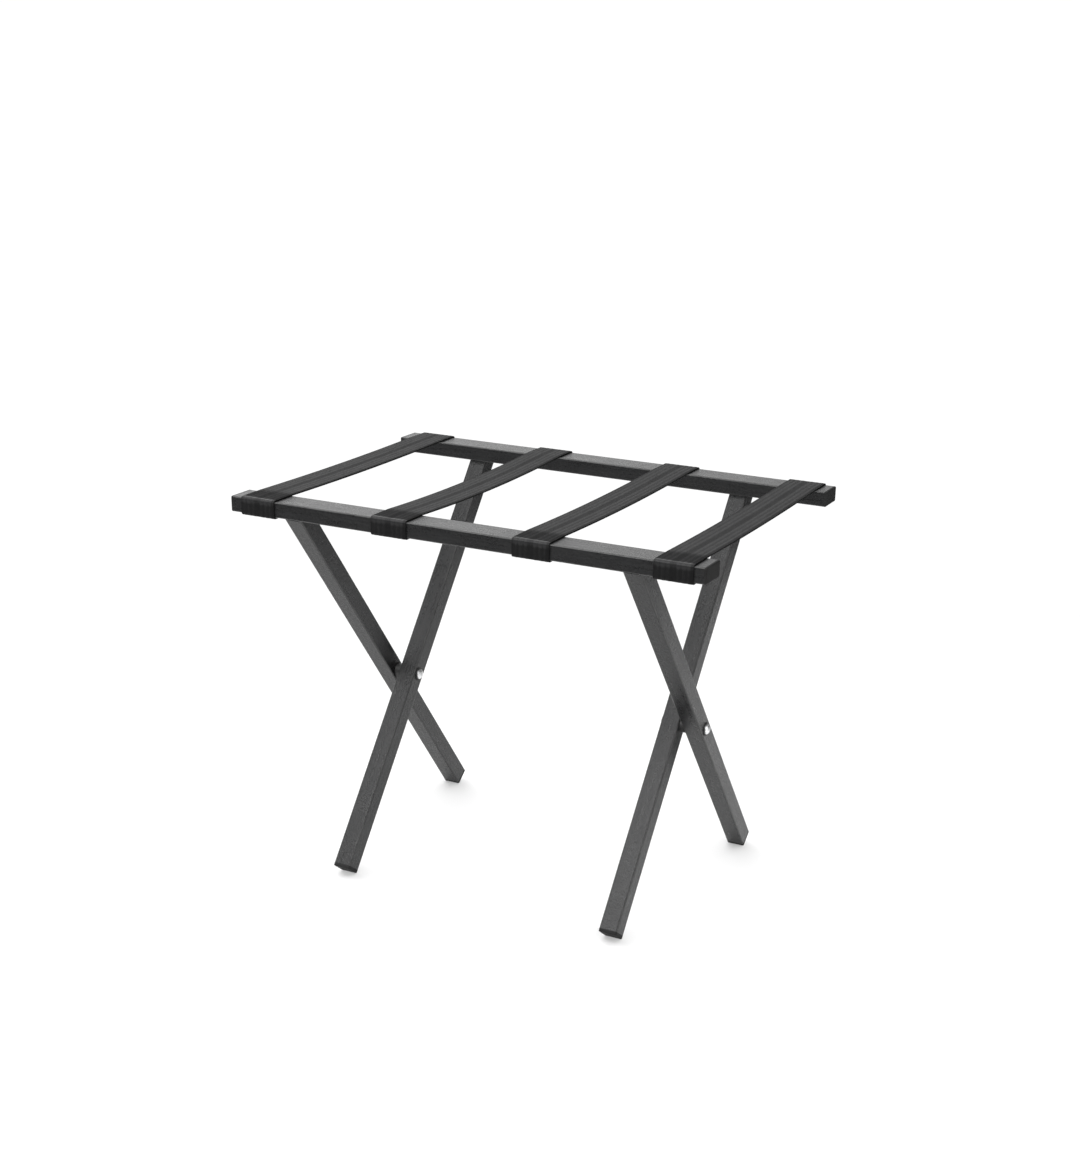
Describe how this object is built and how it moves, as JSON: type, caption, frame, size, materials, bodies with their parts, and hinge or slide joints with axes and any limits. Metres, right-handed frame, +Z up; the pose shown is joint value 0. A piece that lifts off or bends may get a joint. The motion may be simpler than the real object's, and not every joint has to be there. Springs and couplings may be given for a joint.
{
  "type": "folding luggage rack",
  "caption": "Folding luggage rack with two crossed square-tube frames, flat top rails and webbing straps that hold a suitcase.",
  "frame": {"origin": "on the floor under the middle of the rack, open as in use", "axes": "+X along the rails to the right, +Y to the back, +Z up; the front rail belongs to the outer frame"},
  "size_m": [0.65, 0.452, 0.522],
  "materials": {
    "frame_coating": "satin black powder coat on steel tube, fine orange peel",
    "plug_plastic": "black polyethylene, fine moulded grain",
    "webbing": "black polypropylene webbing, lengthwise ribs with a bound edge",
    "strap_screw_steel": "blackened steel",
    "pivot_zinc": "bright zinc plate, polished dome",
    "washer_nylon": "black nylon"
  },
  "bodies": {
    "outer_frame": {"front_rail": "frame_coating", "front_rail_left_plug": "plug_plastic", "front_rail_right_plug": "plug_plastic", "strap_1_front_loop": "webbing", "strap_2_front_loop": "webbing", "strap_3_front_loop": "webbing", "strap_4_front_loop": "webbing", "front_strap_screws": "strap_screw_steel", "outer_left_leg": "frame_coating", "outer_left_foot_plug": "plug_plastic", "outer_right_leg": "frame_coating", "outer_right_foot_plug": "plug_plastic", "left_pivot_screw": "pivot_zinc", "left_pivot_sleeve_nut": "pivot_zinc", "left_outer_washer": "washer_nylon", "left_pivot_spacer": "washer_nylon", "left_inner_washer": "washer_nylon", "right_pivot_screw": "pivot_zinc", "right_pivot_sleeve_nut": "pivot_zinc", "right_outer_washer": "washer_nylon", "right_pivot_spacer": "washer_nylon", "right_inner_washer": "washer_nylon", "strap_1_span": "webbing", "strap_2_span": "webbing", "strap_3_span": "webbing", "strap_4_span": "webbing"},
    "inner_frame": {"back_rail": "frame_coating", "back_rail_left_plug": "plug_plastic", "back_rail_right_plug": "plug_plastic", "strap_1_back_loop": "webbing", "strap_2_back_loop": "webbing", "strap_3_back_loop": "webbing", "strap_4_back_loop": "webbing", "back_strap_screws": "strap_screw_steel", "inner_left_leg": "frame_coating", "inner_left_foot_plug": "plug_plastic", "inner_right_leg": "frame_coating", "inner_right_foot_plug": "plug_plastic"}
  },
  "joints": [
    {"name": "fold", "type": "hinge", "parent": "outer_frame", "child": "inner_frame", "pos_m": [0, 0, 0.23616], "axis": [1, 0, 0], "range_deg": [0, 63], "deforming": ["strap_1_span", "strap_2_span", "strap_3_span", "strap_4_span"]}
  ]
}
